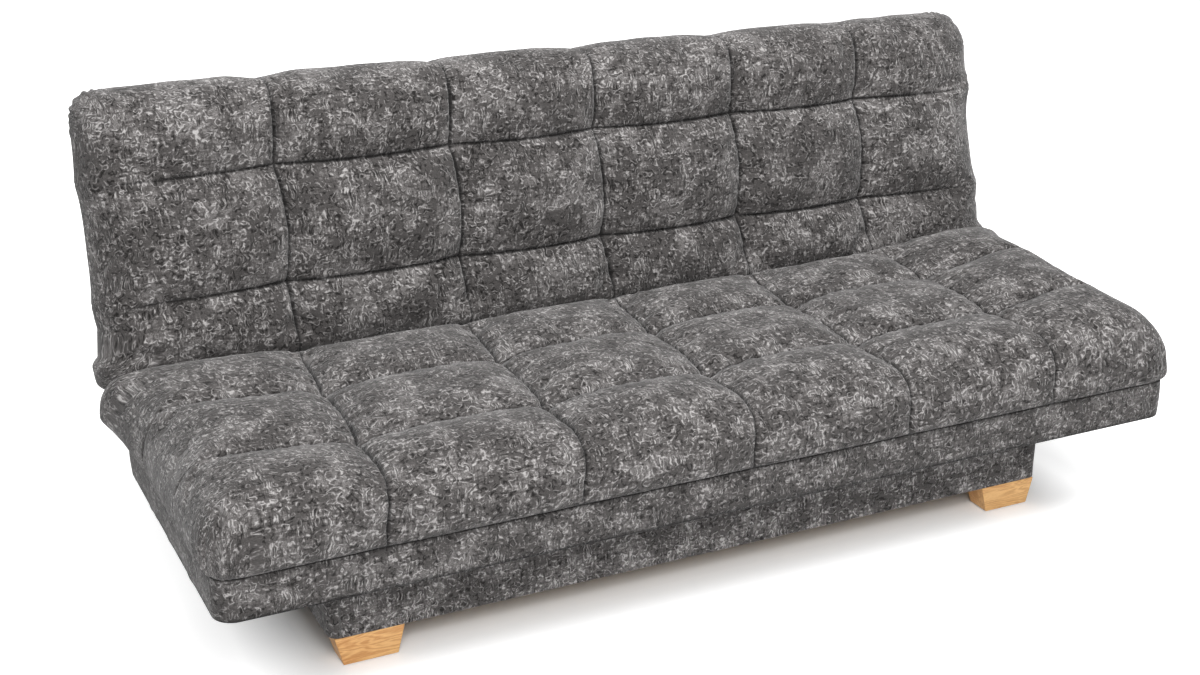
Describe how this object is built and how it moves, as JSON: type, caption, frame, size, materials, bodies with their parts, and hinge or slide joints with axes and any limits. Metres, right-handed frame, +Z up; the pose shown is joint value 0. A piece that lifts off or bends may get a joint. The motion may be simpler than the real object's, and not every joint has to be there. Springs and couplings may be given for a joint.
{
  "type": "click clack sofa bed",
  "caption": "Armless click clack sofa bed: tufted seat and back cushions hinge on one axis over a bedding box on wooden block feet.",
  "frame": {"origin": "on the floor, at the middle of the footprint, with the back upright", "axes": "+Z up, +X along the sofa's length, the front faces -Y"},
  "size_m": [1.9, 0.8894, 0.8605],
  "materials": {
    "seat_fabric": "matte",
    "back_fabric": "matte",
    "band_fabric": "matte",
    "lining_fabric": "matte",
    "felt": "matte",
    "foot_wood": "satin",
    "rail_wood": "matte",
    "slat_wood": "satin",
    "board_wood": "matte",
    "hardboard": "matte",
    "plate_steel": "satin",
    "pin_steel": "satin"
  },
  "bodies": {
    "base": {"plinth_cover": "band_fabric", "plinth_floor": "hardboard", "plinth_front_board": "board_wood", "plinth_rear_board": "board_wood", "plinth_left_board": "board_wood", "plinth_right_board": "board_wood", "foot_front_left": "foot_wood", "glide_front_left": "felt", "corner_block_front_left": "rail_wood", "foot_bolt_front_left": "pin_steel", "foot_front_right": "foot_wood", "glide_front_right": "felt", "corner_block_front_right": "rail_wood", "foot_bolt_front_right": "pin_steel", "foot_rear_left": "foot_wood", "glide_rear_left": "felt", "corner_block_rear_left": "rail_wood", "foot_bolt_rear_left": "pin_steel", "foot_rear_right": "foot_wood", "glide_rear_right": "felt", "corner_block_rear_right": "rail_wood", "foot_bolt_rear_right": "pin_steel", "hinge_bracket_left": "plate_steel", "pivot_pin_left": "pin_steel", "pawl_pin_left": "pin_steel", "pawl_spring_left": "pin_steel", "hinge_bracket_right": "plate_steel", "pivot_pin_right": "pin_steel", "pawl_pin_right": "pin_steel", "pawl_spring_right": "pin_steel"},
    "seat": {"seat_cushion": "seat_fabric", "seat_border": "band_fabric", "seat_dust_cover": "lining_fabric", "seat_front_rail": "rail_wood", "seat_hinge_rail": "rail_wood", "seat_left_end_rail": "rail_wood", "seat_left_bearer_rail": "rail_wood", "seat_arm_left": "plate_steel", "seat_right_end_rail": "rail_wood", "seat_right_bearer_rail": "rail_wood", "seat_arm_right": "plate_steel", "seat_centre_rail": "rail_wood", "seat_slats": "slat_wood"},
    "back": {"back_cushion": "back_fabric", "back_border": "band_fabric", "back_rear_cover": "lining_fabric", "back_top_rail": "rail_wood", "back_hinge_rail": "rail_wood", "back_left_end_rail": "rail_wood", "back_left_bearer_rail": "rail_wood", "back_arm_left": "plate_steel", "back_right_end_rail": "rail_wood", "back_right_bearer_rail": "rail_wood", "back_arm_right": "plate_steel", "back_centre_rail": "rail_wood", "back_slats": "slat_wood", "ratchet_wheel_left": "pin_steel", "ratchet_wheel_right": "pin_steel"},
    "pawl_left": {"pawl_left": "pin_steel"},
    "pawl_right": {"pawl_right": "pin_steel"}
  },
  "joints": [
    {"name": "seat_lift", "type": "hinge", "parent": "base", "child": "seat", "pos_m": [0, 0.2193, 0.321], "axis": [-1, 0, 0], "range_deg": [0, 20]},
    {"name": "back_recline", "type": "hinge", "parent": "base", "child": "back", "pos_m": [0, 0.2193, 0.321], "axis": [-1, 0, 0], "range_deg": [0, 79.5]},
    {"name": "pawl_left_swing", "type": "hinge", "parent": "base", "child": "pawl_left", "pos_m": [-0.69, 0.2193, 0.285], "axis": [1, 0, 0], "range_deg": [0, 8]},
    {"name": "pawl_right_swing", "type": "hinge", "parent": "base", "child": "pawl_right", "pos_m": [0.69, 0.2193, 0.285], "axis": [1, 0, 0], "range_deg": [0, 8]}
  ],
  "couplings": [
    {"joint": "pawl_left_swing", "follows": "back_recline", "ratio": 0.1},
    {"joint": "pawl_right_swing", "follows": "back_recline", "ratio": 0.1}
  ]
}
